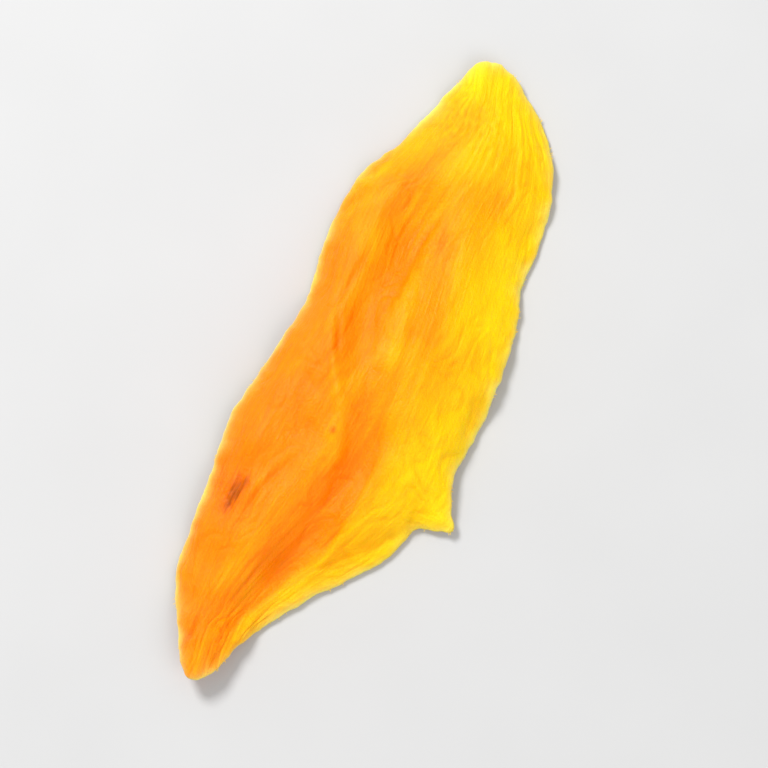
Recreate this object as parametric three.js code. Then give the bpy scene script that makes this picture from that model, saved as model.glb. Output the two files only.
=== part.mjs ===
// One slice of dried mango, lying flat, in millimetres.
// +X runs along the slice towards its round end, +Y towards its straighter back side, +Z is up.
// The origin is the middle of the slice's box, on the surface that it lies on.

import * as THREE from "three";

// The outline seen from above, from the narrow tip to the round end along each side.
const narrowTip = [-50.6, -0.3];
const bellySide = [
  [-48.8, -2.5],
  [-42.4, -4.6],
  [-32.2, -11.0],
  [-22.0, -18.6],
  [-16.3, -20.4],
  [-15.5, -23.0],
  [-14.2, -25.0],
  [-11.9, -24.6],
  [-8.9, -22.5],
  [3.8, -22.2],
  [14.6, -21.4],
  [22.8, -19.0],
  [33.0, -18.1],
  [41.6, -14.9],
  [48.2, -8.3],
];
const roundEnd = [51.7, -1.4];
const backSide = [
  [-49.4, 1.9],
  [-45.0, 4.3],
  [-38.0, 8.4],
  [-22.6, 10.3],
  [-13.3, 11.4],
  [-3.4, 10.2],
  [7.6, 9.2],
  [17.5, 10.6],
  [26.6, 10.2],
  [36.0, 6.6],
  [44.2, 3.9],
  [50.0, 1.9],
];

// The line inside the outline that the rings of the mesh shrink onto.
const spineStart = [-44.5, 0.6];
const spineEnd = [42.5, -3.6];
const tipFanShare = 0.07; // share of each side that fans out round the spine's start
const roundFanShare = 0.11; // share of each side that fans out round the spine's end

// The flesh.
const fleshThickness = 3.7;
const endThinning = 0.24; // share of the thickness lost at both ends
const rimWidth = 4.4; // how far in from its edge the flesh reaches its full thickness
const rimHeight = 1.5; // the middle of the edge above the lowest face
const crownHeight = 6.1; // the middle of the flesh, at the top of its arch
const bellyArch = 11; // how far in from the belly side the arch reaches its top
const backArch = 8; // and from the back side
const sideBlend = 9; // half the width over which one arch turns into the other
const edgeFlare = 0.55; // 0 for an arch that starts steeply at the edge, 1 for one that starts flat
const restFlat = 0.8; // the underside is cut off flat this far up, where it rests
const leastEdge = 0.45; // no point of the edge lies lower than this

// Ends that curl up, and the twist of the narrow tail.
const curls = [
  { from: -26, towards: -1, rise: 0.0058 },
  { from: 34, towards: 1, rise: 0.0048 },
];
const tailTwist = 0.0021;

// Furrows along the slice, with the share of each that also shows on the underside.
const furrowShareBelow = 0.62;
const furrows = [
  {
    through: [[34.0, -1.6], [20.9, -0.6], [9.1, -0.3], [-6.5, -2.6]],
    halfWidth: 3.3,
    depth: 2.9,
  },
  {
    through: [[1.5, -11.2], [-12.6, -8.6], [-23.3, -6.9], [-33.3, -4.0], [-45.1, 1.2]],
    halfWidth: 2.6,
    depth: 2.3,
  },
];

// A raised fold beside each furrow, and the torn tab that curls up.
const folds = [
  {
    through: [[25.0, 7.6], [14.3, 6.2], [2.5, 1.2], [-8.9, -4.0], [-22.6, -1.5], [-36.0, 1.4]],
    halfWidth: 2.7,
    height: 0.9,
  },
  {
    through: [[-2.5, 7.4], [-12.0, 6.4], [-21.0, 7.2]],
    halfWidth: 2.0,
    height: 0.7,
  },
];
const endFade = 0.32; // share of its length over which a furrow or fold starts and ends
const tab = { at: [-13.9, -24.6], reach: 4.4, rise: 1.2, thinning: 0.5 };

// Waves along the edge and slow swells over the whole slice.
const edgeWaveReach = 6.5;
const edgeWaves = [
  { height: 0.6, perX: 0.235, perY: 0.09, phase: 0.4 },
  { height: 0.42, perX: 0.43, perY: -0.13, phase: 2.0 },
  { height: 0.22, perX: 0.86, perY: 0.2, phase: 0.9 },
];
const swells = [
  { height: 0.36, perX: 0.17, perY: 0.21, phase: 1.1 },
  { height: 0.22, perX: 0.29, perY: -0.33, phase: 4.0 },
];
const bends = [
  { height: 0.85, perX: 0.088, perY: 0.035, phase: 1.9 },
  { height: 0.3, perX: 0.15, perY: -0.12, phase: 0.2 },
];

// The mesh.
const stepsPerSide = 88;
const ringCount = 14;
const ringCrowding = 0.55; // how much closer the rings stand near the edge
const curveSamples = 1200;
const lineSamples = 30;
const leastAcross = 0.001; // keeps the distance from a stretch of outline above zero

const fleshColour = 0xffb000;

const furrowLines = furrows.map(smoothLine);
const foldLines = folds.map(smoothLine);

// Both sides of the outline, each as points at equal distances from the narrow tip to the round end.
function outlineHalves() {
  const corners = [narrowTip, ...bellySide, roundEnd, ...[...backSide].reverse()];
  const points = corners.map(([x, y]) => new THREE.Vector3(x, y, 0));
  const curve = new THREE.CatmullRomCurve3(points, true, "centripetal");
  const turn = (bellySide.length + 1) / corners.length;
  return {
    belly: evenPoints((share) => curve.getPoint(share * turn)),
    back: evenPoints((share) => curve.getPoint((1 - share * (1 - turn)) % 1)),
  };
}

// Points at equal distances along a curve that is given from 0 to 1, both ends included.
function evenPoints(pointAt) {
  const samples = [];
  const lengths = [0];
  for (let i = 0; i <= curveSamples; i += 1) {
    samples.push(pointAt(i / curveSamples));
    if (i > 0) {
      lengths.push(lengths[i - 1] + samples[i].distanceTo(samples[i - 1]));
    }
  }
  const even = [];
  let at = 0;
  for (let i = 0; i <= stepsPerSide; i += 1) {
    const target = (lengths[curveSamples] * i) / stepsPerSide;
    while (at < curveSamples - 1 && lengths[at + 1] < target) {
      at += 1;
    }
    const share = (target - lengths[at]) / (lengths[at + 1] - lengths[at]);
    even.push(samples[at].clone().lerp(samples[at + 1], Math.min(1, share)));
  }
  return even;
}

// The closed ring of outline points, each with its step from the narrow tip along its side.
function outlineRing() {
  const { belly, back } = outlineHalves();
  const ring = [];
  for (let i = 0; i < stepsPerSide; i += 1) {
    ring.push({ point: belly[i], step: i });
  }
  for (let i = stepsPerSide; i > 0; i -= 1) {
    ring.push({ point: back[i], step: i });
  }
  return ring;
}

// How far along the spine an outline point's line to it ends, from 0 to 1.
function spineShare(step) {
  const share = step / stepsPerSide;
  const straight = 1 - tipFanShare - roundFanShare;
  return Math.min(1, Math.max(0, (share - tipFanShare) / straight));
}

function spinePoint(share) {
  const x = THREE.MathUtils.lerp(spineStart[0], spineEnd[0], share);
  const y = THREE.MathUtils.lerp(spineStart[1], spineEnd[1], share);
  return new THREE.Vector3(x, y, 0);
}

// Distance from (x, y) to the line a-b, and where along it the nearest point lies.
function nearestOnLine(x, y, a, b) {
  const lineX = b[0] - a[0];
  const lineY = b[1] - a[1];
  const along = ((x - a[0]) * lineX + (y - a[1]) * lineY) / (lineX * lineX + lineY * lineY);
  const share = Math.min(1, Math.max(0, along));
  const distance = Math.hypot(x - a[0] - share * lineX, y - a[1] - share * lineY);
  return { distance, share };
}

function nearestOnPath(x, y, path) {
  let best = { distance: Infinity, share: 0 };
  for (let i = 0; i + 1 < path.length; i += 1) {
    const found = nearestOnLine(x, y, path[i], path[i + 1]);
    if (found.distance < best.distance) {
      best = { distance: found.distance, share: (i + found.share) / (path.length - 1) };
    }
  }
  return best;
}

// 1 on the middle of a line, fading to 0 beside it and towards its two ends.
function softLine(x, y, { line, halfWidth }) {
  const { distance, share } = nearestOnPath(x, y, line);
  const along = THREE.MathUtils.smoothstep(Math.min(share, 1 - share), 0, endFade);
  return Math.exp(-((distance / halfWidth) ** 2)) * along;
}

// How far (x, y) lies in from the outline, with the creases between its sides rounded off.
// Each stretch of the outline counts by the inverse cube of its distance.
function inwardsFrom(x, y, loop) {
  let nearness = 0;
  for (let i = 0; i + 1 < loop.length; i += 1) {
    const [fromX, fromY] = [loop[i][0] - x, loop[i][1] - y];
    const [stepX, stepY] = [loop[i + 1][0] - loop[i][0], loop[i + 1][1] - loop[i][1]];
    const length = Math.hypot(stepX, stepY);
    const start = (fromX * stepX + fromY * stepY) / length;
    const end = start + length;
    const across = Math.max(leastAcross, Math.abs(fromX * stepY - fromY * stepX) / length);
    nearness += (end / Math.hypot(end, across) - start / Math.hypot(start, across)) / across ** 2;
  }
  return Math.sqrt(2 / nearness);
}

// 1 at the tip of the torn tab, fading to 0 away from it.
function fromTab(x, y) {
  return Math.exp(-((Math.hypot(x - tab.at[0], y - tab.at[1]) / tab.reach) ** 2));
}

// A furrow or fold with its few points joined by a smooth line.
function smoothLine({ through, ...rest }) {
  const curve = new THREE.CatmullRomCurve3(through.map(([x, y]) => new THREE.Vector3(x, y, 0)));
  return { ...rest, line: curve.getPoints(lineSamples).map(({ x, y }) => [x, y]) };
}

function waveSum(waves, x, y) {
  let sum = 0;
  for (const { height, perX, perY, phase } of waves) {
    sum += height * Math.sin(perX * x + perY * y + phase);
  }
  return sum;
}

function furrowDepth(x, y) {
  let depth = 0;
  for (const furrow of furrowLines) {
    depth += furrow.depth * softLine(x, y, furrow);
  }
  return depth;
}

// The middle of the flesh, without the furrows.
function bodyHeight(x, y, inwards) {
  const side = THREE.MathUtils.smoothstep(y, -sideBlend, sideBlend);
  const reach = Math.min(1, inwards / THREE.MathUtils.lerp(bellyArch, backArch, side));
  const arch = THREE.MathUtils.lerp(reach * (2 - reach), reach * reach * (3 - 2 * reach), edgeFlare);
  let z = rimHeight + (crownHeight - rimHeight) * arch;
  for (const { from, towards, rise } of curls) {
    z += rise * Math.max(0, (x - from) * towards) ** 2;
  }
  for (const fold of foldLines) {
    z += fold.height * softLine(x, y, fold);
  }
  z -= tailTwist * Math.min(0, x) * y;
  z += tab.rise * fromTab(x, y);
  z += waveSum(edgeWaves, x, y) * Math.exp(-inwards / edgeWaveReach);
  return z + waveSum(swells, x, y) * arch + waveSum(bends, x, y);
}

function halfThickness(x, y, inwards) {
  const fromMiddle = Math.abs(x - (narrowTip[0] + roundEnd[0]) / 2);
  const ends = (fromMiddle / ((roundEnd[0] - narrowTip[0]) / 2)) ** 2;
  const rim = Math.sqrt(1 - (1 - Math.min(1, inwards / rimWidth)) ** 2);
  return 0.5 * fleshThickness * (1 - endThinning * ends) * (1 - tab.thinning * fromTab(x, y)) * rim;
}

// The heights of both faces above the surface that the slice lies on.
function faceHeights(x, y, inwards) {
  const body = bodyHeight(x, y, inwards) - restFlat;
  const half = halfThickness(x, y, inwards);
  const furrow = furrowDepth(x, y);
  const middle = Math.max(leastEdge, body - furrowShareBelow * furrow);
  const top = middle + half - (1 - furrowShareBelow) * furrow * rimFade(inwards);
  return { top, bottom: Math.max(0, middle - half) };
}

function rimFade(inwards) {
  return Math.min(1, inwards / rimWidth);
}

// The corners of a cell, turned so that the first and third, where it is split, are the most level.
function levelSplit(corners, heightOf) {
  const [a, b, c, d] = corners.map(heightOf);
  return Math.abs(a - c) <= Math.abs(b - d) ? corners : [...corners.slice(1), corners[0]];
}

function sliceGeometry() {
  const ring = outlineRing();
  const edge = ring.map(({ point }) => [point.x, point.y]);
  const loop = [...edge, edge[0]];
  const positions = [];
  const topIds = new Map();
  const bottomIds = new Map();

  const addVertex = (x, y, z) => {
    positions.push(x, y, z);
    return positions.length / 3 - 1;
  };
  // On the spine, points of both sides that share a place share a key too.
  const keyAt = (r, i) => {
    const around = i % ring.length;
    return r > 0 ? `${r}:${around}` : `spine:${spineShare(ring[around].step).toFixed(6)}`;
  };
  const addPoint = (key, x, y, onEdge) => {
    if (topIds.has(key)) {
      return;
    }
    const inwards = onEdge ? 0 : inwardsFrom(x, y, loop);
    const { top, bottom } = faceHeights(x, y, inwards);
    topIds.set(key, addVertex(x, y, top));
    bottomIds.set(key, onEdge ? topIds.get(key) : addVertex(x, y, bottom));
  };

  for (let r = 0; r <= ringCount; r += 1) {
    const even = r / ringCount;
    const out = even * (1 + ringCrowding) - ringCrowding * even * even;
    ring.forEach(({ point, step }, i) => {
      const spot = spinePoint(spineShare(step)).lerp(point, out);
      addPoint(keyAt(r, i), spot.x, spot.y, r === ringCount);
    });
  }

  const faces = [];
  const addFace = (...ids) => {
    if (new Set(ids).size === 3) {
      faces.push(...ids);
    }
  };
  for (let r = 0; r < ringCount; r += 1) {
    for (let i = 0; i < ring.length; i += 1) {
      const corners = [keyAt(r, i), keyAt(r + 1, i), keyAt(r + 1, i + 1), keyAt(r, i + 1)];
      const cell = levelSplit(corners, (key) => positions[3 * topIds.get(key) + 2]);
      const [a, b, c, d] = cell.map((key) => topIds.get(key));
      addFace(a, b, c);
      addFace(a, c, d);
      const [e, f, g, h] = cell.map((key) => bottomIds.get(key));
      addFace(e, g, f);
      addFace(e, h, g);
    }
  }

  const geometry = new THREE.BufferGeometry();
  geometry.setAttribute("position", new THREE.Float32BufferAttribute(positions, 3));
  geometry.setIndex(faces);
  geometry.computeVertexNormals();
  return centred(geometry);
}

// Moves the middle of the box over the origin and its lowest face to z = 0.
function centred(geometry) {
  geometry.computeBoundingBox();
  const { min, max } = geometry.boundingBox;
  return geometry.translate(-(min.x + max.x) / 2, -(min.y + max.y) / 2, -min.z);
}

const flesh = new THREE.MeshStandardMaterial({
  color: fleshColour,
  roughness: 0.45,
  metalness: 0,
});

const slice = new THREE.Mesh(sliceGeometry(), flesh);
slice.name = "mango_slice";

const model = new THREE.Group();
model.add(slice);

export default model;
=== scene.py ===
import math

import bpy
import numpy as np
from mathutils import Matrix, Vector


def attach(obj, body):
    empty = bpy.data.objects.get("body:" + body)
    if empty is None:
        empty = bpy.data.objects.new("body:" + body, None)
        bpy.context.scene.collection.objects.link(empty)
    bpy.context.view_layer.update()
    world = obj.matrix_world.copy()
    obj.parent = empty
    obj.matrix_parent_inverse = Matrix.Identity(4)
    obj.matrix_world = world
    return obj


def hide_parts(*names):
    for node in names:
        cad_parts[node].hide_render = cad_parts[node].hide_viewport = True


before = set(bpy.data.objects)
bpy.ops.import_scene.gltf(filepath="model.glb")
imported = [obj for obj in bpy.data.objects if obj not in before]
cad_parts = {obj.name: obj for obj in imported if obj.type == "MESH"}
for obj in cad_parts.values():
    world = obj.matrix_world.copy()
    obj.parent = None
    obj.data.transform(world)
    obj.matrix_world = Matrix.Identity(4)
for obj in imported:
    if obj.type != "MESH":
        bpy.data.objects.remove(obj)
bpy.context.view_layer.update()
mm = 0.001
print("frame loaded")

# The form of the slice in millimetres, with the same sizes as the solid that it replaces.
# +X runs along the slice to its round end, the belly side lies at -Y.
sliceForm = {
    "narrowTip": (-50.6, -0.3),
    "bellySide": [(-48.8, -2.5), (-42.4, -4.6), (-32.2, -11.0), (-22.0, -18.6), (-16.3, -20.4),
                  (-15.5, -23.0), (-14.2, -25.0), (-11.9, -24.6), (-8.9, -22.5), (3.8, -22.2),
                  (14.6, -21.4), (22.8, -19.0), (33.0, -18.1), (41.6, -14.9), (48.2, -8.3)],
    "roundEnd": (51.7, -1.4),
    "backSide": [(-49.4, 1.9), (-45.0, 4.3), (-38.0, 8.4), (-22.6, 10.3), (-13.3, 11.4), (-3.4, 10.2),
                 (7.6, 9.2), (17.5, 10.6), (26.6, 10.2), (36.0, 6.6), (44.2, 3.9), (50.0, 1.9)],
    "outlineSamples": 4001,
    "lineSamples": 31,
    "spineStart": (-44.5, 0.6),
    "spineEnd": (42.5, -3.6),
    "tipFanShare": 0.07,
    "roundFanShare": 0.11,
    "fleshThickness": 3.7,
    "endThinning": 0.24,
    "rimWidth": 4.4,
    "rimHeight": 1.5,
    "crownHeight": 6.1,
    "bellyArch": 11,
    "backArch": 8,
    "sideBlend": 9,
    "edgeFlare": 0.55,
    "restFlat": 0.8,
    "leastEdge": 0.45,
    "curls": [(-26, -1, 0.0058), (34, 1, 0.0048)],  # from this x, towards this side, rise
    "tailTwist": 0.0021,
    "furrowShareBelow": 0.62,
    # Furrows and folds: the points that each runs through, its half width, and its depth or height.
    "furrows": [
        ([(34.0, -1.6), (20.9, -0.6), (9.1, -0.3), (-6.5, -2.6)], 3.3, 2.9),
        ([(1.5, -11.2), (-12.6, -8.6), (-23.3, -6.9), (-33.3, -4.0), (-45.1, 1.2)], 2.6, 2.3),
    ],
    "folds": [
        ([(25.0, 7.6), (14.3, 6.2), (2.5, 1.2), (-8.9, -4.0), (-22.6, -1.5), (-36.0, 1.4)], 2.7, 0.9),
        ([(-2.5, 7.4), (-12.0, 6.4), (-21.0, 7.2)], 2.0, 0.7),
    ],
    "endFade": 0.32,
    "tab": {"at": (-13.9, -24.6), "reach": 4.4, "rise": 1.2, "thinning": 0.5},
    "edgeWaveReach": 6.5,
    # Waves: height, turns along x and along y, and phase.
    "edgeWaves": [(0.6, 0.235, 0.09, 0.4), (0.42, 0.43, -0.13, 2.0), (0.22, 0.86, 0.2, 0.9)],
    "swells": [(0.36, 0.17, 0.21, 1.1), (0.22, 0.29, -0.33, 4.0)],
    "bends": [(0.85, 0.088, 0.035, 1.9), (0.3, 0.15, -0.12, 0.2)],
}


def ease(value, low, high):
    share = np.clip((value - low) / (high - low), 0, 1)
    return share * share * (3 - 2 * share)


def blend(a, b, share):
    return a + (b - a) * share


def smoothCurve(points, shares, closed=False):
    # A centripetal Catmull-Rom curve, as the solid's outline has.
    corners = np.array(points, float)
    spans = len(corners) if closed else len(corners) - 1
    place = np.asarray(shares, float) * spans
    start = np.minimum(np.floor(place).astype(int), spans - 1)
    w = (place - start)[:, None]
    if closed:
        padded = np.vstack([corners[-1:], corners, corners[:2]])
    else:
        padded = np.vstack([2 * corners[:1] - corners[1:2], corners, 2 * corners[-1:] - corners[-2:-1]])
    p0, p1, p2, p3 = (padded[start + k] for k in range(4))
    pairs = ((p0, p1), (p1, p2), (p2, p3))
    gap0, gap1, gap2 = (((b - a) ** 2).sum(1, keepdims=True) ** 0.25 for a, b in pairs)
    out = ((p1 - p0) / gap0 - (p2 - p0) / (gap0 + gap1) + (p2 - p1) / gap1) * gap1
    back = ((p2 - p1) / gap1 - (p3 - p1) / (gap1 + gap2) + (p3 - p2) / gap2) * gap1
    return p1 + out * w + (3 * (p2 - p1) - 2 * out - back) * w**2 + (2 * (p1 - p2) + out + back) * w**3


def evenPoints(curve, count):
    length = np.concatenate([[0], np.cumsum(np.hypot(*np.diff(curve, axis=0).T))])
    at = np.linspace(0, length[-1], count + 1)
    return np.stack([np.interp(at, length, curve[:, k]) for k in (0, 1)], axis=1)


def outlineHalves(count):
    form = sliceForm
    corners = [form["narrowTip"], *form["bellySide"], form["roundEnd"], *reversed(form["backSide"])]
    turn = (len(form["bellySide"]) + 1) / len(corners)
    shares = np.linspace(0, 1, form["outlineSamples"])
    belly = smoothCurve(corners, shares * turn, closed=True)
    back = smoothCurve(corners, (1 - shares * (1 - turn)) % 1, closed=True)
    return evenPoints(belly, count), evenPoints(back, count)


def softLine(x, y, through, halfWidth, endFade=sliceForm["endFade"]):
    # 1 on the middle of a line, fading to 0 beside it and towards its two ends.
    path = smoothCurve(through, np.linspace(0, 1, sliceForm["lineSamples"]))
    nearest = np.full(x.shape, np.inf)
    place = np.zeros(x.shape)
    for i, (a, b) in enumerate(zip(path[:-1], path[1:])):
        line = b - a
        share = np.clip(((x - a[0]) * line[0] + (y - a[1]) * line[1]) / (line @ line), 0, 1)
        distance = np.hypot(x - a[0] - share * line[0], y - a[1] - share * line[1])
        place = np.where(distance < nearest, (i + share) / (len(path) - 1), place)
        nearest = np.minimum(nearest, distance)
    return np.exp(-((nearest / halfWidth) ** 2)) * ease(np.minimum(place, 1 - place), 0, endFade)


def inwardsFrom(points, ring):
    # How far each point lies in from the outline, with the creases between its sides rounded off.
    pointsAtOnce = 1500
    leastAside = 0.001
    step = np.roll(ring, -1, 0) - ring
    length = np.hypot(*step.T)
    step = step / length[:, None]
    inwards = []
    for part in np.array_split(points, len(points) // pointsAtOnce + 1):
        away = ring[None] - part[:, None]
        start = away[..., 0] * step[:, 0] + away[..., 1] * step[:, 1]
        end = start + length
        aside = np.abs(away[..., 0] * step[:, 1] - away[..., 1] * step[:, 0])
        aside = np.maximum(leastAside, aside) ** 2
        nearness = (end / np.sqrt(end**2 + aside) - start / np.sqrt(start**2 + aside)) / aside
        inwards.append(np.sqrt(2 / nearness.sum(1)))
    return np.concatenate(inwards)


def fromTab(x, y):
    tab = sliceForm["tab"]
    return np.exp(-((np.hypot(x - tab["at"][0], y - tab["at"][1]) / tab["reach"]) ** 2))


def waveSum(waves, x, y):
    return sum(height * np.sin(perX * x + perY * y + phase) for height, perX, perY, phase in waves)


def bodyHeight(x, y, inwards):
    form = sliceForm
    width = blend(form["bellyArch"], form["backArch"], ease(y, -form["sideBlend"], form["sideBlend"]))
    reach = np.minimum(1, inwards / width)
    arch = blend(reach * (2 - reach), reach * reach * (3 - 2 * reach), form["edgeFlare"])
    z = blend(form["rimHeight"], form["crownHeight"], arch)
    for start, towards, rise in form["curls"]:
        z = z + rise * np.maximum(0, (x - start) * towards) ** 2
    for through, halfWidth, height in form["folds"]:
        z = z + height * softLine(x, y, through, halfWidth)
    z = z - form["tailTwist"] * np.minimum(0, x) * y
    z = z + form["tab"]["rise"] * fromTab(x, y)
    z = z + waveSum(form["edgeWaves"], x, y) * np.exp(-inwards / form["edgeWaveReach"])
    return z + waveSum(form["swells"], x, y) * arch + waveSum(form["bends"], x, y)


def faceHeights(x, y, inwards):
    # The heights of the upper and the lower face, and the depth of the furrows.
    form = sliceForm
    halfLength = (form["roundEnd"][0] - form["narrowTip"][0]) / 2
    ends = ((x - form["narrowTip"][0] - halfLength) / halfLength) ** 2
    fromRim = np.minimum(1, inwards / form["rimWidth"])
    half = 0.5 * form["fleshThickness"] * (1 - form["endThinning"] * ends) * np.sqrt(1 - (1 - fromRim) ** 2)
    half = half * (1 - form["tab"]["thinning"] * fromTab(x, y))
    furrow = sum(depth * softLine(x, y, through, halfWidth) for through, halfWidth, depth in form["furrows"])
    body = bodyHeight(x, y, inwards) - form["restFlat"]
    middle = np.maximum(form["leastEdge"], body - form["furrowShareBelow"] * furrow)
    top = middle + half - (1 - form["furrowShareBelow"]) * furrow * fromRim
    return top, np.maximum(0, middle - half), furrow


# What drying leaves on the surface, in millimetres. A size is how far apart things lie along and
# across the slice or its grain. Patches start at the first noise value of "from" and are full at
# the second.
surface = {
    "stepsPerSide": 440,
    "upperRings": 72,
    "lowerRings": 34,
    "ringCrowding": 0.3,
    "grainSpan": (-60.0, 61.0),
    "grainSpread": 14.0,  # the half width at which the grain's lines lie at their true distance
    "leastSpread": 7.0,
    "grainBlur": 6.0,
    "undersideSeeds": 100,
    "undersideGrain": 40,  # sets the underside's fine grain apart from the upper face's
    "nibbles": [(0.3, 6.5, 11), (0.17, 2.4, 12), (0.08, 0.9, 13)],  # height, spacing and seed
    "tabPoint": [((-14.7, -25.0), 1.1, 0.45), ((-11.7, -24.4), 1.5, -0.8)],  # at, reach, how far out
    "sway": {"size": (34, 10), "seed": 61},
    "softFolds": {"height": 0.26, "size": (26.0, 5.2), "sway": 0.8, "seed": 21},
    "pleats": {"height": 0.26, "spacing": 2.1, "size": (15.0, 6.0), "bend": 0.75, "sway": 0.8,
               "crest": 0.8, "level": 0.6, "seed": 22},
    "pleatPatches": {"size": (19, 5.5), "from": (-0.15, 0.5), "least": 0, "seed": 52},
    "pleatCalm": {"least": 0.2, "across": (-9.0, 0.0), "tailwards": (-34.0, -14.0)},
    "strands": {"height": 0.07, "size": (9.0, 1.15), "sway": 2, "seed": 23},
    "fineStrands": {"share": 0.6, "size": (6.3, 0.7475), "sway": 2, "seed": 30},
    "strandPatches": {"size": (9, 4.5), "from": (-0.4, 0.5), "least": 0.3, "seed": 32},
    "wrinkles": {"height": 0.2, "spacing": 3.2, "size": (4.6, 2.4), "bend": 0.85,
                 "steepness": 1.2, "crest": 0.7, "level": 0.75, "seed": 26},
    "wrinkleTurns": {"size": (7, 5), "seed": 31},
    "wrinklePatches": {"size": (13, 7), "from": (-0.45, 0.35), "least": 0.3, "seed": 34},
    "dents": {"height": 0.18, "size": (5.5, 5.5), "seed": 24},
    "crimps": {"height": 0.2, "spacing": 1.5, "perInwards": 0.35, "reach": 2.2, "seed": 25},
    "edgeSettle": (-0.3, 1.1),
    "nub": {"at": (-9.6, -3.6), "reach": 1.4, "height": 0.38},
    "lineFade": 0.45,
    # Creases and ridges: the points that each runs through, its half width, and its depth or height.
    "creases": [
        ([(-28.0, 6.3), (-24.5, 5.5), (-21.0, 5.6), (-17.0, 4.9)], 0.6, 0.42),
        ([(-47.5, 3.0), (-44.0, 2.4), (-40.5, 3.4)], 0.5, 0.4),
        ([(-29.0, 3.4), (-20.0, 1.9), (-12.5, -1.4)], 0.5, 0.35),
        ([(4.0, 5.4), (11.0, 4.0), (19.0, 3.6)], 0.6, 0.4),
        ([(-2.0, -0.6), (4.0, 2.2), (9.0, 4.6)], 0.5, 0.3),
        ([(-33.0, -7.4), (-26.0, -9.6), (-17.0, -10.6), (-7.0, -10.9)], 0.5, 0.4),
        ([(-44.0, -0.6), (-36.0, -4.6), (-28.0, -7.4)], 0.45, 0.35),
        ([(27.0, -3.4), (19.0, -2.6), (10.0, -3.0)], 0.5, 0.35),
    ],
    "ridges": [
        ([(16.0, 7.2), (6.0, 4.2), (-1.0, 0.4), (-7.0, -3.4), (-14.0, -5.4), (-21.0, -4.9)], 0.8, 0.34),
        ([(-30.0, 4.6), (-21.0, 3.1), (-13.0, 0.2)], 0.7, 0.3),
        ([(-38.0, -5.6), (-28.0, -9.6), (-18.0, -12.4)], 0.8, 0.3),
        ([(33.0, -5.2), (22.0, -4.6), (10.0, -5.6), (0.0, -8.0)], 0.9, 0.26),
    ],
}


def grainNoise(u, v, seed):
    # Smooth noise between about -1 and 1.
    shuffle = np.random.default_rng(seed).permutation(256)
    cellU, cellV = np.floor(u).astype(int), np.floor(v).astype(int)
    inU, inV = u - cellU, v - cellV

    def corner(stepU, stepV):
        turn = shuffle[(shuffle[(cellU + stepU) & 255] + cellV + stepV) & 255] * (2 * np.pi / 256)
        return np.cos(turn) * (inU - stepU) + np.sin(turn) * (inV - stepV)

    easeU = inU**3 * (inU * (6 * inU - 15) + 10)
    easeV = inV**3 * (inV * (6 * inV - 15) + 10)
    near = blend(corner(0, 0), corner(1, 0), easeU)
    far = blend(corner(0, 1), corner(1, 1), easeU)
    return blend(near, far, easeV) * 1.5


def noiseOf(kind, u, v, shift=(0, 0), seedShift=0):
    size = kind["size"]
    return grainNoise(u / size[0] + shift[0], v / size[1] + shift[1], kind["seed"] + seedShift)


def patchesOf(kind, u, v, seedShift=0):
    return blend(kind["least"], 1, ease(noiseOf(kind, u, v, seedShift=seedShift), *kind["from"]))


def grainPlace(x, y, halves):
    # Along the slice, and across it in lines that draw together towards both ends.
    at = np.arange(*surface["grainSpan"])
    blurReach = int(2 * surface["grainBlur"])
    blur = np.exp(-((np.arange(-blurReach, blurReach + 1) / surface["grainBlur"]) ** 2))
    low, high = (np.convolve(np.interp(at, np.maximum.accumulate(side[:, 0]), side[:, 1]),
                             blur / blur.sum(), "same") for side in halves)
    middle, halfWidth = (low + high) / 2, np.maximum((high - low) / 2, surface["leastSpread"])
    return x, (y - np.interp(x, at, middle)) / np.interp(x, at, halfWidth) * surface["grainSpread"]


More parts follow.
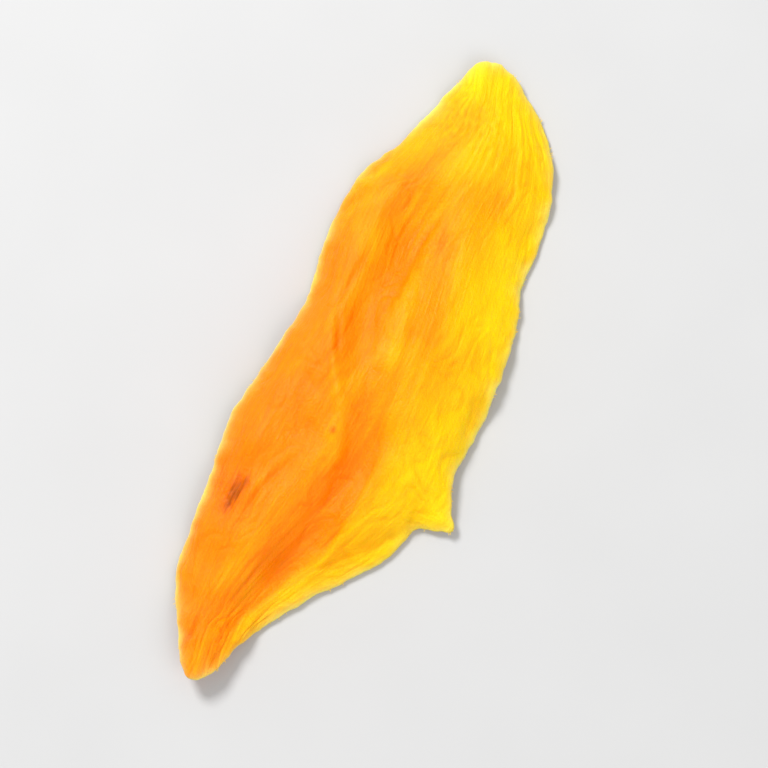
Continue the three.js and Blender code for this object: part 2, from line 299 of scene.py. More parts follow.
def relief(face):
    # How far drying has raised each point of a face.
    x, y, along, across, inwards = (face[key] for key in ("x", "y", "along", "across", "inwards"))

    def noise(name, u, v, shift=(0, 0)):
        return noiseOf(surface[name], u, v, shift, face["seedShift"])

    def patches(name, u, v):
        return patchesOf(surface[name], u, v, face["seedShift"])

    sway = noise("sway", along, across)
    folds = surface["softFolds"]
    lift = folds["height"] * noise("softFolds", along, across, (0, folds["sway"] * sway))

    # Pleats are rounded ridges between narrow creases, and come and go in patches.
    pleats, calm = surface["pleats"], surface["pleatCalm"]
    bend = pleats["bend"] * noise("pleats", along, across) + pleats["sway"] * sway
    wave = np.abs(np.sin(np.pi * (across / pleats["spacing"] + bend)))
    lively = ease(across, *calm["across"]) * ease(-along, *calm["tailwards"])
    shown = patches("pleatPatches", along, across) * blend(calm["least"], 1, lively)
    lift = lift + pleats["height"] * shown * (wave ** pleats["crest"] - pleats["level"])

    # Strands of fibre show where the flesh between them has shrunk, and are smoothed over elsewhere.
    strands, fineStrands = surface["strands"], surface["fineStrands"]
    coarse = noise("strands", along, across, (0, strands["sway"] * sway))
    fine = noise("fineStrands", along, across, (0, fineStrands["sway"] * sway))
    shown = patches("strandPatches", x, y)
    lift = lift + strands["height"] * shown * (coarse + fineStrands["share"] * fine)

    # Leathery wrinkles: short creases that meet and part.
    wrinkles = surface["wrinkles"]
    turn = noise("wrinkleTurns", x, y)
    bend = wrinkles["bend"] * noise("wrinkles", along, across, (turn, turn))
    crease = np.abs(np.sin(np.pi * (across / wrinkles["spacing"] + bend)))
    crest = np.minimum(1, wrinkles["steepness"] * crease) ** wrinkles["crest"] - wrinkles["level"]
    lift = lift + wrinkles["height"] * patches("wrinklePatches", x, y) * crest

    crimps, nub, lineFade = surface["crimps"], surface["nub"], surface["lineFade"]
    lift = lift + surface["dents"]["height"] * noise("dents", x, y)
    crimp = grainNoise(face["around"] / crimps["spacing"], crimps["perInwards"] * inwards, crimps["seed"])
    lift = lift + crimps["height"] * crimp * np.exp(-inwards / crimps["reach"])
    if face["upper"]:
        fromNub = np.hypot(x - nub["at"][0], y - nub["at"][1]) / nub["reach"]
        lift = lift + nub["height"] * np.exp(-(fromNub**2))
        for through, halfWidth, depth in surface["creases"]:
            lift = lift - depth * softLine(x, y, through, halfWidth, lineFade)
        for through, halfWidth, height in surface["ridges"]:
            lift = lift + height * softLine(x, y, through, halfWidth, lineFade)
    return lift * ease(inwards, *surface["edgeSettle"])


def raggedEdge(ring):
    # Moves each outline point in or out, by waves that close up round the slice.
    step = np.hypot(*(np.roll(ring, -1, 0) - ring).T)
    around = np.concatenate([[0], np.cumsum(step)[:-1]])
    angle = 2 * np.pi * around / step.sum()
    centre = 40  # where the circle through the noise has its middle
    move = 0
    for height, spacing, seed in surface["nibbles"]:
        radius = step.sum() / (2 * np.pi * spacing)
        u, v = radius * np.cos(angle) + centre, radius * np.sin(angle) + centre
        move = move + height * grainNoise(u, v, seed)
    for at, reach, out in surface["tabPoint"]:
        move = move + out * np.exp(-((np.hypot(*(ring - at).T) / reach) ** 2))
    along = np.roll(ring, -1, 0) - np.roll(ring, 1, 0)
    outwards = np.stack([along[:, 1], -along[:, 0]], 1) / np.hypot(*along.T)[:, None]
    return ring + outwards * move[:, None], outwards, around


def planPoints(ring, steps, ringTotal):
    # The rings of points from the spine out to the edge, and the number of each point.
    form = sliceForm
    straight = 1 - form["tipFanShare"] - form["roundFanShare"]
    share = np.clip((steps / surface["stepsPerSide"] - form["tipFanShare"]) / straight, 0, 1)
    spineShare, spineIds = np.unique(np.round(share, 7), return_inverse=True)
    spine = blend(np.array(form["spineStart"]), np.array(form["spineEnd"]), spineShare[:, None])
    ids = [spineIds]
    points = [spine]
    for r in range(1, ringTotal + 1):
        even = r / ringTotal
        out = even * (1 + surface["ringCrowding"]) - surface["ringCrowding"] * even * even
        ids.append(sum(map(len, points)) + np.arange(len(ring)))
        points.append(blend(spine[spineIds], ring, out))
    return np.vstack(points), np.array(ids)


def ringFaces(ids, upper):
    inner, outer = ids[:-1], ids[1:]
    corners = np.stack([inner, outer, np.roll(outer, -1, 1), np.roll(inner, -1, 1)], -1).reshape(-1, 4)
    if not upper:
        corners = corners[:, ::-1]
    return [list(dict.fromkeys(cell)) for cell in corners.tolist()]


def faceNormals(points, faces):
    corners = np.array([face if len(face) == 4 else [*face, face[2]] for face in faces])
    p = points[corners]
    normal = np.cross(p[:, 2] - p[:, 0], p[:, 3] - p[:, 1])
    normals = np.zeros_like(points)
    for k in range(4):
        np.add.at(normals, corners[:, k], normal)
    return normals / np.maximum(1e-12, np.linalg.norm(normals, axis=1, keepdims=True))


def sliceFace(upper, ring, steps, around, halves):
    ringTotal = surface["upperRings"] if upper else surface["lowerRings"]
    plan, ids = planPoints(ring, steps, ringTotal)
    x, y = plan.T
    inwards = np.zeros(len(plan))
    inside = np.arange(len(plan)) < ids[-1][0]
    inwards[inside] = inwardsFrom(plan[inside], ring)
    top, bottom, furrow = faceHeights(x, y, inwards)
    along, across = grainPlace(x, y, halves)
    aroundAll = np.zeros(len(plan))
    for row in ids:
        aroundAll[row] = around
    face = {"upper": upper, "seedShift": 0 if upper else surface["undersideSeeds"], "x": x, "y": y,
            "inwards": inwards, "along": along, "across": across, "around": aroundAll, "furrow": furrow}
    faces = ringFaces(ids, upper)
    base = np.column_stack([plan, top if upper else bottom])
    lift = relief(face)
    points = base + faceNormals(base, faces) * lift[:, None]
    points[:, 2] = np.maximum(0, points[:, 2])
    return {**face, "points": points, "ids": ids, "faces": faces, "lift": lift}


def joinFaces(upper, lower):
    # Both faces as one closed surface: the lower face takes over the upper face's edge.
    keep = np.arange(len(lower["x"])) < lower["ids"][-1][0]
    number = np.concatenate([np.arange(keep.sum()) + len(upper["x"]), upper["ids"][-1]])
    data = {key: np.concatenate([upper[key], lower[key][keep]]) for key in
            ("x", "y", "inwards", "along", "across", "around", "furrow", "lift", "points")}
    data["under"] = np.repeat([0.0, 1.0], [len(upper["x"]), keep.sum()])
    faces = upper["faces"] + [[int(number[k]) for k in face] for face in lower["faces"]]
    return data, faces


# Where the flesh is deeper in tone, some of it painted shade and painted light: 0 is bright yellow, 1 is
# brown. A pair says where a tone starts and where it is full, counted along -X where it is named tailwards
# and along +X where roundwards.
tones = {
    "base": -0.02,
    # paler towards the belly edge: partly the thin flesh's own colour, partly painted light where that edge
    # slopes away from the key light
    "belly": {"gain": 0.5, "across": (-15.5, -2.5), "tailwards": (-46.0, -30.0)},  # towards the middle
    "tailBelly": {"gain": 0.16, "tailwards": (16.0, 30.0), "roundwards": (-52.0, -40.0),
                  "line": -9, "halfWidth": 4.5},
    # a deeper tone on the back side, partly the flesh's own and partly painted shade of a neighbouring slice
    # lying over it; tailBack adds more of it
    "backSide": {"gain": 0.22, "across": (-9.0, 12.0), "tailwards": (-26.0, -4.0)},
    "tailBack": {"gain": 0.1, "tailwards": (-8.0, 14.0)},  # more on the back side of the tail half
    # painted shade in the furrows, deeper where they are deeper
    "furrow": {"gain": 0.1, "fullDepth": 2.9, "curve": 0.8},
    "tail": {"gain": 0.05, "tailwards": (24, 46)},
    "roundEnd": {"gain": 0.05, "roundwards": (20, 38)},
    "tabPale": -0.12,
    "blotches": {"gain": 0.13, "size": (15, 5.0), "seed": 61},
    "streakSway": {"size": (12, 8), "seed": 65},
    "streakPatches": {"size": (10, 5), "from": (-0.4, 0.45), "least": 0.25, "seed": 66},
    "wideStreaks": {"gain": 0.11, "size": (9, 1.7), "sway": 2, "seed": 62},
    "narrowStreaks": {"share": 0.6, "size": (6, 0.9), "sway": 3, "seed": 63},
    # painted shade in the dips of the relief and painted light on its rises
    "dipShade": {"gain": 0.34, "lift": (-0.35, 0.3)},
    "underside": -0.03,
    "deepFrom": 0.66,  # tones past this one are drawn together, so that only the specks turn brown
    "deepShare": 0.5,
    "ragged": {"share": 0.5, "size": (1.1, 0.6), "seed": 64},
    # Stains and painted shade: the points that each runs through, its half width and its strength, below 0
    # for a paler one, which is painted light.
    "stainsAndShade": [
        # painted shade along the middle furrow
        ([(26.0, -1.2), (20.0, -0.8), (12.0, -1.4), (4.0, -2.4), (-6.0, -2.8)], 2.4, 0.34),
        # painted shade along the furrow on the belly side, a wide band here and a narrow one below
        ([(0.0, -10.4), (-11.0, -9.0), (-20.0, -8.6), (-28.0, -6.4), (-35.0, -4.0), (-44.0, -1.0)],
         1.6, 0.34),
        ([(-30.0, -6.4), (-23.0, -8.4), (-13.0, -9.6)], 0.6, 0.16),
        # painted light on the wall of the belly-side furrow that faces away from the key light
        ([(-31.0, -2.6), (-22.0, -4.4), (-13.0, -5.4), (-7.0, -6.0)], 1.8, -0.4),
        ([(-3.0, 1.0), (-6.0, -0.4), (-12.0, 1.2)], 2.2, 0.16),
        # painted shade deeper in the middle furrow
        ([(24.0, -0.8), (17.0, -0.8), (11.0, -0.5)], 0.9, 0.12),
        # painted shadow of a neighbouring slice along the back edge
        ([(-20.0, 9.6), (-8.0, 8.8), (6.0, 7.8), (17.0, 8.8), (26.0, 9.2)], 2.8, 0.36),
        ([(33.0, 2.6), (40.0, 0.6), (50.0, -0.8)], 3.8, 0.34),
        ([(34.0, -5.0), (41.0, -5.0), (49.0, -4.0)], 3.2, 0.16),
        # painted shade in and round the crease near the back edge, where a neighbouring slice lies over it
        ([(-31.0, 6.8), (-24.5, 5.7), (-21.0, 5.7), (-13.0, 4.4)], 1.9, 0.26),
        ([(-27.2, 6.6), (-23.4, 5.8), (-20.2, 3.6)], 0.9, 0.34),
        # painted shade in the crease near the narrow tip
        ([(-48.0, 3.2), (-44.5, 2.5), (-40.5, 3.5)], 0.8, 0.26),
    ],
    # Dark specks and painted shade: at, reach and strength. Each is longer along the slice than its reach
    # across it. The four round (-23, 5.7) are painted shade in the crease where a neighbouring slice lies
    # over the back edge.
    "specksAndShade": [
        ((-9.4, -3.4), 0.32, 0.85),
        ((-23.6, 5.7), 1.8, 0.5),
        ((-23.3, 5.7), 0.95, 0.62),
        ((-21.5, 4.8), 0.7, 0.5),
        ((-25.8, 6.1), 0.6, 0.5),
        ((-45.6, 2.6), 0.6, 0.5),
    ],
    "speckLength": 1.7,
    "speckRagged": 0.6,
}


def fleshToneAndShade(data):
    t = tones
    x, y, along, across = (data[key] for key in ("x", "y", "along", "across"))
    upper = 1 - data["under"]

    def gained(name):
        part, gain = t[name], t[name]["gain"]
        for key, place in (("across", across), ("tailwards", -x), ("roundwards", x)):
            if key in part:
                gain = gain * ease(place, *part[key])
        return gain

    tailLine = np.exp(-(((across - t["tailBelly"]["line"]) / t["tailBelly"]["halfWidth"]) ** 2))
    backShare = 1 + gained("tailBack") / t["backSide"]["gain"]
    tone = t["base"] + t["underside"] * data["under"]
    tone = tone + gained("belly") + gained("tailBelly") * tailLine + gained("backSide") * backShare
    # painted shade in the furrows
    tone = tone + t["furrow"]["gain"] * (data["furrow"] / t["furrow"]["fullDepth"]) ** t["furrow"]["curve"]
    tone = tone + gained("tail") + gained("roundEnd") + t["tabPale"] * fromTab(x, y)

    # Blotches and streaks along the grain, and painted shade wherever the surface dips, with painted light
    # where it rises.
    wideStreaks, narrowStreaks = t["wideStreaks"], t["narrowStreaks"]
    tone = tone + t["blotches"]["gain"] * noiseOf(t["blotches"], along, across)
    sway = noiseOf(t["streakSway"], x, y)
    wide = noiseOf(wideStreaks, along, across, (0, wideStreaks["sway"] * sway))
    narrow = noiseOf(narrowStreaks, along, across, (0, narrowStreaks["sway"] * sway))
    streaks = patchesOf(t["streakPatches"], x, y) * (wide + narrowStreaks["share"] * narrow)
    tone = tone + wideStreaks["gain"] * streaks
    tone = tone - t["dipShade"]["gain"] * np.clip(data["lift"], *t["dipShade"]["lift"])

    ragged = 1 + t["ragged"]["share"] * noiseOf(t["ragged"], x, y)
    # stains, painted shade and painted light along lines
    for through, halfWidth, strength in t["stainsAndShade"]:
        line = softLine(x, y, through, halfWidth, surface["lineFade"])
        tone = blend(tone, 1, upper * strength * line * ragged)
    tone = tone - (1 - t["deepShare"]) * np.maximum(0, tone - t["deepFrom"])
    # dark specks, and painted shade in the crease near the back edge
    for (spotX, spotY), reach, strength in t["specksAndShade"]:
        away = np.hypot((x - spotX) / (t["speckLength"] * reach), (y - spotY) / reach)
        away = away * blend(1, ragged, t["speckRagged"])
        tone = blend(tone, 1, upper * strength * np.exp(-(away**2)))
    return np.clip(tone, 0, 1)


def paleRimAndEdgeLight(data):
    # The thin edge is paler, in a line of uneven width: partly the lighter colour of the thin flesh, partly a
    # painted highlight along the lit edge.
    widths, patches = fleshFinish["rimWidths"], fleshFinish["rimPatches"]

    def waver(kind):
        row = np.full_like(data["around"], kind["row"])
        return kind["share"] * grainNoise(data["around"] / kind["spacing"], row, kind["seed"])

    reach = fleshFinish["rimReach"] * (1 + waver(widths))
    strength = fleshFinish["rimStrength"] * np.clip(patches["middle"] + waver(patches), patches["least"], 1)
    return strength * np.exp(-data["inwards"] / reach)


def addAttribute(mesh, name, values):
    kind, field = ("FLOAT", "value") if values.ndim == 1 else ("FLOAT_VECTOR", "vector")
    mesh.attributes.new(name, kind, "POINT").data.foreach_set(field, values.astype(np.float32).ravel())


def linear(red, green, blue):
    def channel(value):
        value /= 255
        return value / 12.92 if value <= 0.04045 else ((value + 0.055) / 1.055) ** 2.4

    return (channel(red), channel(green), channel(blue), 1)


class Nodes:
    # Adds nodes to a tree and joins them: an input given as a socket is linked, any other value is set.
    def __init__(self, tree):
        self.tree = tree
        tree.nodes.clear()

    def add(self, kind, inputs=(), **settings):
        node = self.tree.nodes.new(kind)
        for key, value in settings.items():
            setattr(node, key, value)
        for key, value in dict(inputs).items():
            if isinstance(value, bpy.types.NodeSocket):
                self.tree.links.new(value, node.inputs[key])
            else:
                node.inputs[key].default_value = value
        return node

    def ramp(self, factor, stops):
        node = self.add("ShaderNodeValToRGB", {"Fac": factor})
        elements = node.color_ramp.elements
        for k, (position, colour) in enumerate(stops):
            stop = elements[k] if k < 2 else elements.new(position)
            stop.position = position
            stop.color = linear(*colour)
        return node.outputs["Color"]

    def noise(self, place, scale, detail, roughness=0.5):
        inputs = {"Vector": place, "Scale": scale, "Detail": detail, "Roughness": roughness}
        return self.add("ShaderNodeTexNoise", inputs).outputs["Fac"]

    def fit(self, value, low, high):
        # Noise lies mostly between 0.3 and 0.7.
        inputs = {"Value": value, "From Min": 0.3, "From Max": 0.7, "To Min": low, "To Max": high}
        return self.add("ShaderNodeMapRange", inputs).outputs["Result"]

    def sum(self, a, b):
        return self.add("ShaderNodeMath", {0: a, 1: b}, operation="ADD").outputs["Value"]


fleshFinish = {
    "tones": [(0.0, (255, 206, 2)), (0.2, (255, 186, 0)), (0.45, (255, 158, 0)), (0.7, (255, 129, 0)),
              (0.82, (238, 117, 0)), (0.92, (198, 92, 0)), (1.0, (138, 58, 0))],
    # the pale rim: partly the thin flesh's colour, partly a painted highlight on the lit edge
    "rimColour": (255, 230, 118),
    "rimReach": 0.45,
    "rimStrength": 0.9,
    "rimWidths": {"share": 0.6, "spacing": 2.6, "row": 0.5, "seed": 67},
    "rimPatches": {"middle": 0.85, "share": 0.7, "least": 0.45, "spacing": 7, "row": 3.5, "seed": 68},
    "fineGrain": (0.16, 2.6, 1.0),  # waves per millimetre along and across the grain
    "fineDetail": (5.0, 0.62),  # octaves and how strong each is
    "fineTone": 0.06,
    "pores": 2.2,  # per millimetre
    "poreDetail": (3.0, 0.6),
    "poreHeight": (0.2, 0.55),
    "roughness": (0.25, 0.42),
    "roughPatches": 0.19,  # per millimetre
    "roughDetail": 4.0,
    "index": 1.45,
    "specular": 0.12,
    "scatter": 0.35,
    "scatterReach": (0.0026, 0.0009, 0.0002),
    "bumpHeight": 0.00016,
}


def fleshMaterial():
    finish = fleshFinish
    material = bpy.data.materials.new("mangoFlesh")
    material.use_nodes = True
    nodes = Nodes(material.node_tree)
    place = nodes.add("ShaderNodeTexCoord").outputs["Object"]
    grain = nodes.add("ShaderNodeAttribute", attribute_name="grain").outputs["Vector"]
    tone = nodes.add("ShaderNodeAttribute", attribute_name="tone").outputs["Fac"]
    rim = nodes.add("ShaderNodeAttribute", attribute_name="rim").outputs["Fac"]

    drawn = nodes.add("ShaderNodeMapping", {"Vector": grain, "Scale": finish["fineGrain"]}).outputs["Vector"]
    fineGrain = nodes.noise(drawn, 1.0, *finish["fineDetail"])
    pores = nodes.noise(place, finish["pores"] / mm, *finish["poreDetail"])
    fullTone = nodes.sum(tone, nodes.fit(fineGrain, -finish["fineTone"], finish["fineTone"]))
    colour = nodes.add("ShaderNodeMixRGB", {"Fac": rim, "Color1": nodes.ramp(fullTone, finish["tones"]),
                                            "Color2": linear(*finish["rimColour"])}).outputs["Color"]
    patches = nodes.noise(place, finish["roughPatches"] / mm, finish["roughDetail"])
    rough = nodes.fit(patches, *finish["roughness"])
    height = nodes.sum(fineGrain, nodes.fit(pores, *finish["poreHeight"]))
    bump = nodes.add("ShaderNodeBump", {"Height": height, "Distance": finish["bumpHeight"]}).outputs["Normal"]
    shader = nodes.add("ShaderNodeBsdfPrincipled", {
        "Base Color": colour, "Roughness": rough, "Normal": bump, "IOR": finish["index"],
        "Specular IOR Level": finish["specular"], "Subsurface Weight": finish["scatter"],
        "Subsurface Radius": finish["scatterReach"], "Subsurface Scale": 1.0})
    nodes.add("ShaderNodeOutputMaterial", {"Surface": shader.outputs["BSDF"]})
    return material


def buildSlice():
    sideSteps = surface["stepsPerSide"]
    belly, back = outlineHalves(sideSteps)
    smooth = np.vstack([belly[:-1], back[:0:-1]])
    steps = np.concatenate([np.arange(sideSteps), np.arange(sideSteps, 0, -1)])
    middle = (smooth.min(0) + smooth.max(0)) / 2
    ring, outwards, around = raggedEdge(smooth)
    upper, lower = (sliceFace(isUpper, ring, steps, around, (belly, back)) for isUpper in (True, False))
    data, faces = joinFaces(upper, lower)
    data["points"][:, :2] -= middle

    mesh = bpy.data.meshes.new("mangoSlice")
    mesh.from_pydata((data["points"] * mm).tolist(), [], faces)
    mesh.shade_smooth()
    grain = np.column_stack([data["along"], data["across"], surface["undersideGrain"] * data["under"]])
    addAttribute(mesh, "tone", fleshToneAndShade(data))
    addAttribute(mesh, "rim", paleRimAndEdgeLight(data))
    addAttribute(mesh, "grain", grain)
    mesh.materials.append(fleshMaterial())
    piece = bpy.data.objects.new("mangoSlice", mesh)
    bpy.context.scene.collection.objects.link(piece)
    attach(piece, "root")
    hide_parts("mango_slice")
    print("slice built:", len(mesh.vertices), "points,", len(mesh.polygons), "faces")
    return data["points"][upper["ids"][-1]], outwards


# Frayed fibres along the thin edge, in millimetres.
edgeFibres = {
    "places": 3000,
    "share": 0.5,
    "shortest": 0.25,
    "longest": 0.7,
    "thickness": 0.08,
    "line": ((0, 0, 0), (0.5, 0.16, 0.1), (1, -0.05, 0.12)),  # of a fibre of length 1
    "steps": 6,
    "sides": 4,
    "tipWidth": 0.08,
    "sway": 0.3,
    "swayRange": ((-1, -1, -0.15), (1, 1, 0.5)),
    "outShare": 0.8,  # against 1 for the way along the grain to the nearer end
    "turnReach": 12,  # within this of the middle, that way is in doubt
    "upShare": 0.1,
    "rootDepth": 0.3,
    "tornReach": 5.0,
    "patches": {"size": (4, 4), "gain": 1.4, "bare": 0.3, "most": 0.6, "seed": 5},
    "seed": 5,
    "colours": [(0.35, (255, 200, 20)), (0.65, (255, 216, 70))],
    "colourPatches": 0.8,  # per millimetre
    "colourDetail": 2.0,
    "roughness": 0.5,
    "specular": 0.25,
    "scatter": 0.3,
    "scatterReach": (0.001, 0.0005, 0.0002),
}


def fibreMaterial():
    finish = edgeFibres
    material = bpy.data.materials.new("mangoFibre")
    material.use_nodes = True
    nodes = Nodes(material.node_tree)
    place = nodes.add("ShaderNodeTexCoord").outputs["Object"]
    patches = nodes.noise(place, finish["colourPatches"] / mm, finish["colourDetail"])
    colour = nodes.ramp(patches, finish["colours"])
    shader = nodes.add("ShaderNodeBsdfPrincipled", {
        "Base Color": colour, "Roughness": finish["roughness"], "Specular IOR Level": finish["specular"],
        "Subsurface Weight": finish["scatter"], "Subsurface Radius": finish["scatterReach"],
        "Subsurface Scale": 1.0})
    nodes.add("ShaderNodeOutputMaterial", {"Surface": shader.outputs["BSDF"]})
    return material


def fibreTree():
    settings = edgeFibres
    tree = bpy.data.node_groups.new("edgeFibres", "GeometryNodeTree")
    face = tree.interface
    face.new_socket("Geometry", in_out="INPUT", socket_type="NodeSocketGeometry")
    for name, kind in (("Places", "Int"), ("Share", "Float"), ("Shortest", "Float"), ("Longest", "Float"),
                       ("Thickness", "Float"), ("Sway", "Float"), ("Seed", "Int"), ("Material", "Material")):
        face.new_socket(name, in_out="INPUT", socket_type="NodeSocket" + kind)
    face.new_socket("Geometry", in_out="OUTPUT", socket_type="NodeSocketGeometry")
    nodes = Nodes(tree)
    given = nodes.add("NodeGroupInput").outputs

    # One fibre of length 1 along +X, bent a little and tapering to its tip.
    start, middle, end = settings["line"]
    bentLine = nodes.add("GeometryNodeCurveQuadraticBezier", {
        "Resolution": settings["steps"], "Start": start, "Middle": middle, "End": end})
    along = nodes.add("GeometryNodeSplineParameter").outputs["Factor"]
    taper = nodes.add("ShaderNodeMath", {0: 1 + settings["tipWidth"], 1: along}, operation="SUBTRACT")
    tapered = nodes.add("GeometryNodeSetCurveRadius", {"Curve": bentLine.outputs["Curve"],
                                                       "Radius": taper.outputs["Value"]})
    profile = nodes.add("GeometryNodeCurvePrimitiveCircle", {"Resolution": settings["sides"], "Radius": 0.5})
    fibre = nodes.add("GeometryNodeCurveToMesh", {"Curve": tapered.outputs["Curve"],
                                                  "Profile Curve": profile.outputs["Curve"],
                                                  "Fill Caps": True})

    # Fibres stand at chance places round the edge, more of them where it is frayed. They point
    # outwards and along the grain to the nearer end, and sway to both sides.
    edge = nodes.add("GeometryNodeMeshToCurve", {"Mesh": given["Geometry"]})
    evenEdge = nodes.add("GeometryNodeResampleCurve", {"Curve": edge.outputs["Curve"],
                                                       "Count": given["Places"]})

    def live(sockets):
        return next(socket for socket in sockets if socket.enabled)

    def chance(kind, low, high, shift):
        seed = nodes.add("ShaderNodeMath", {0: given["Seed"], 1: shift}, operation="ADD").outputs["Value"]
        node = nodes.add("FunctionNodeRandomValue", data_type=kind)
        picks = [socket for socket in node.inputs if socket.enabled and socket.name in ("Min", "Max")]
        for socket, value in zip(picks, (low, high)):
            if isinstance(value, bpy.types.NodeSocket):
                tree.links.new(value, socket)
            else:
                socket.default_value = value
        tree.links.new(seed, node.inputs["Seed"])
        return live(node.outputs)

    fray = nodes.add("GeometryNodeInputNamedAttribute", {"Name": "fray"}, data_type="FLOAT")
    likely = nodes.add("ShaderNodeMath", {0: given["Share"], 1: live(fray.outputs)}, operation="MULTIPLY")
    chosen = nodes.add("FunctionNodeCompare", {0: chance("FLOAT", 0.0, 1.0, 1), 1: likely.outputs["Value"]},
                       operation="LESS_THAN")
    outwards = nodes.add("GeometryNodeInputNamedAttribute", {"Name": "outwards"}, data_type="FLOAT_VECTOR")
    anySway = chance("FLOAT_VECTOR", *settings["swayRange"], 2)
    sway = nodes.add("ShaderNodeVectorMath", {0: anySway}, operation="SCALE")
    tree.links.new(given["Sway"], sway.inputs["Scale"])
    pointing = nodes.add("ShaderNodeVectorMath", {0: live(outwards.outputs), 1: sway.outputs["Vector"]},
                         operation="ADD")
    turned = nodes.add("FunctionNodeAlignRotationToVector", {"Vector": pointing.outputs["Vector"]}, axis="X")
    length = chance("FLOAT", given["Shortest"], given["Longest"], 3)
    size = nodes.add("ShaderNodeCombineXYZ", {"X": length, "Y": given["Thickness"], "Z": given["Thickness"]})
    placed = nodes.add("GeometryNodeInstanceOnPoints", {
        "Points": evenEdge.outputs["Curve"], "Selection": chosen.outputs["Result"],
        "Instance": fibre.outputs["Mesh"], "Rotation": turned.outputs["Rotation"],
        "Scale": size.outputs["Vector"]})
    real = nodes.add("GeometryNodeRealizeInstances", {"Geometry": placed.outputs["Instances"]})
    finished = nodes.add("GeometryNodeSetMaterial", {"Geometry": real.outputs["Geometry"],
                                                     "Material": given["Material"]})
    nodes.add("NodeGroupOutput", {"Geometry": finished.outputs["Geometry"]})
    return tree


def fibreGuide(edge, outwards):
    # The edge as a closed line of points, each with the way its fibres go and how frayed it is.
    settings, patches = edgeFibres, edgeFibres["patches"]
    count = len(edge)
    guide = bpy.data.meshes.new("edgeGuide")
    roots = edge - np.column_stack([outwards, np.zeros(count)]) * settings["rootDepth"]
    guide.from_pydata((roots * mm).tolist(), [(k, (k + 1) % count) for k in range(count)], [])
    way = outwards * settings["outShare"]
    way[:, 0] += np.tanh(edge[:, 0] / settings["turnReach"])
    addAttribute(guide, "outwards", np.column_stack([way, np.full(count, settings["upShare"])]))
    torn = np.zeros(count)
    for at in (sliceForm["tab"]["at"], sliceForm["narrowTip"]):
        away = np.hypot(edge[:, 0] - at[0], edge[:, 1] - at[1]) / settings["tornReach"]
        torn = np.maximum(torn, np.exp(-(away**2)))
    fray = patches["gain"] * noiseOf(patches, edge[:, 0], edge[:, 1]) - patches["bare"]
    addAttribute(guide, "fray", np.maximum(np.clip(fray, 0, patches["most"]), torn))
    return guide


def buildEdgeFibres(edge, outwards):
    settings = edgeFibres
    holder = bpy.data.objects.new("edgeGuide", fibreGuide(edge, outwards))
    bpy.context.scene.collection.objects.link(holder)
    tree = fibreTree()
    modifier = holder.modifiers.new("fibres", "NODES")
    modifier.node_group = tree
    inputs = {"Places": settings["places"], "Share": settings["share"], "Shortest": settings["shortest"] * mm,
              "Longest": settings["longest"] * mm, "Thickness": settings["thickness"] * mm,
              "Sway": settings["sway"], "Seed": settings["seed"], "Material": fibreMaterial()}
    for item in tree.interface.items_tree:
        if item.in_out == "INPUT" and item.name in inputs:
            modifier[item.identifier] = inputs[item.name]
    shaped = holder.evaluated_get(bpy.context.evaluated_depsgraph_get())
    mesh = bpy.data.meshes.new_from_object(shaped)
    holder.modifiers.remove(modifier)
    bpy.data.objects.remove(holder)

    mesh.shade_smooth()
    piece = bpy.data.objects.new("edgeFibres", mesh)
    bpy.context.scene.collection.objects.link(piece)
    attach(piece, "root")
    print("edge fibres built:", len(mesh.polygons), "faces")


stage = {
    "longAxisTurn": 64.3,  # degrees from the picture's right edge up to the slice's +X
    "elevation": 82.0,
    "distance": 0.47,
    "lens": 150.0,
    "clipStart": 0.01,
    "aim": (0.0, 0.0, 0.003),
    "floorColour": (194, 194, 194),
    "floorMottle": 1,  # of 255, lighter and darker
    "floorPatches": 40.0,  # per metre
    "floorDetail": 2.0,
    "floorRoughness": 0.8,
    "floorSpecular": 0.1,
    "floorSize": 3.0,
    "floorDrop": 0.00005,
    "air": 0.64,
    "lights": [  # name, degrees round the picture from its right edge, elevation, distance, size, power
        ("keySoftbox", 128, 50, 0.8, 0.26, 6.0),
        ("fillSoftbox", -50, 45, 1.0, 0.8, 3.2),
    ],
}


def pictureWay(degrees, elevation):
    # A direction given round the picture, as one in the slice's own frame.
    turn = math.radians(degrees - stage["longAxisTurn"])
    up = math.radians(elevation)
    return Vector((math.cos(turn) * math.cos(up), math.sin(turn) * math.cos(up), math.sin(up)))


def aimAt(thing, target):
    thing.rotation_euler = (Vector(target) - thing.location).to_track_quat("-Z", "Y").to_euler()


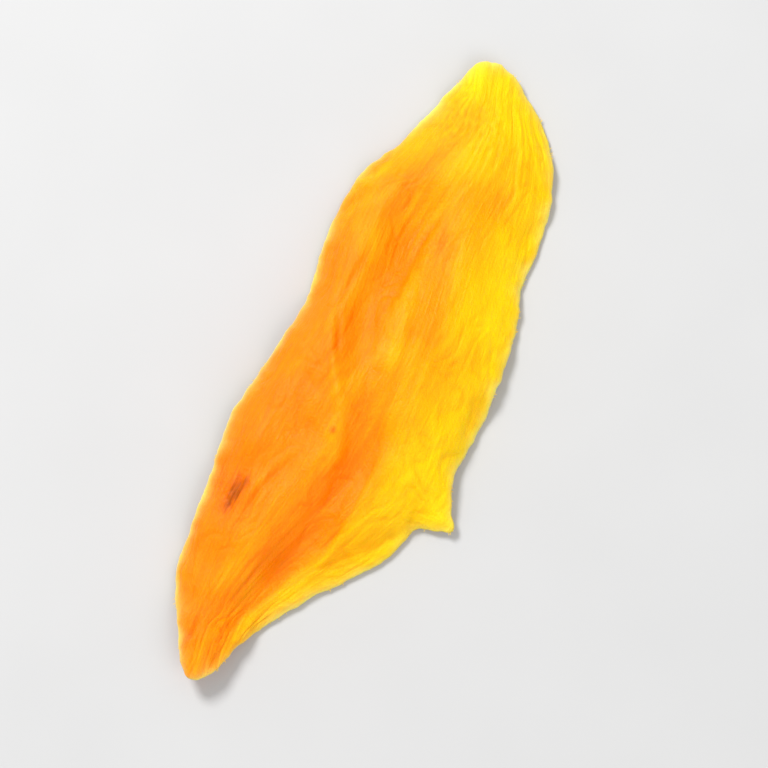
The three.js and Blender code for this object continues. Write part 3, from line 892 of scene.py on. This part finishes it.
def buildFloor():
    half, drop = stage["floorSize"] / 2, -stage["floorDrop"]
    corners = [(-half, -half, drop), (half, -half, drop), (half, half, drop), (-half, half, drop)]
    mesh = bpy.data.meshes.new("floor")
    mesh.from_pydata(corners, [], [(0, 1, 2, 3)])
    floor = bpy.data.objects.new("floor", mesh)
    bpy.context.scene.collection.objects.link(floor)
    material = bpy.data.materials.new("paleFloor")
    material.use_nodes = True
    nodes = Nodes(material.node_tree)
    place = nodes.add("ShaderNodeTexCoord").outputs["Object"]
    grey, mottle = stage["floorColour"], stage["floorMottle"]
    shades = [(0.3, [channel - mottle for channel in grey]), (0.7, [channel + mottle for channel in grey])]
    patches = nodes.noise(place, stage["floorPatches"], stage["floorDetail"])
    shader = nodes.add("ShaderNodeBsdfPrincipled", {
        "Base Color": nodes.ramp(patches, shades),
        "Roughness": stage["floorRoughness"], "Specular IOR Level": stage["floorSpecular"]})
    nodes.add("ShaderNodeOutputMaterial", {"Surface": shader.outputs["BSDF"]})
    mesh.materials.append(material)


def buildLights():
    for name, degrees, elevation, distance, size, power in stage["lights"]:
        lamp = bpy.data.lights.new(name, "AREA")
        lamp.shape = "DISK"
        lamp.size = size
        lamp.energy = power
        holder = bpy.data.objects.new(name, lamp)
        bpy.context.scene.collection.objects.link(holder)
        holder.location = pictureWay(degrees, elevation) * distance
        aimAt(holder, (0, 0, 0))
    world = bpy.data.worlds.new("studio")
    world.use_nodes = True
    nodes = Nodes(world.node_tree)
    air = nodes.add("ShaderNodeBackground", {"Color": (1, 1, 1, 1), "Strength": stage["air"]})
    nodes.add("ShaderNodeOutputWorld", {"Surface": air.outputs["Background"]})
    bpy.context.scene.world = world


def buildCamera():
    lens = bpy.data.cameras.new("camera")
    lens.lens = stage["lens"]
    lens.clip_start = stage["clipStart"]
    camera = bpy.data.objects.new("camera", lens)
    bpy.context.scene.collection.objects.link(camera)
    camera.location = Vector(stage["aim"]) + pictureWay(-90, stage["elevation"]) * stage["distance"]
    aimAt(camera, stage["aim"])
    bpy.context.scene.camera = camera
    bpy.context.scene.view_settings.view_transform = "Standard"


sliceEdge, edgeOutwards = buildSlice()
buildEdgeFibres(sliceEdge, edgeOutwards)
buildFloor()
buildLights()
buildCamera()
print("stage set")
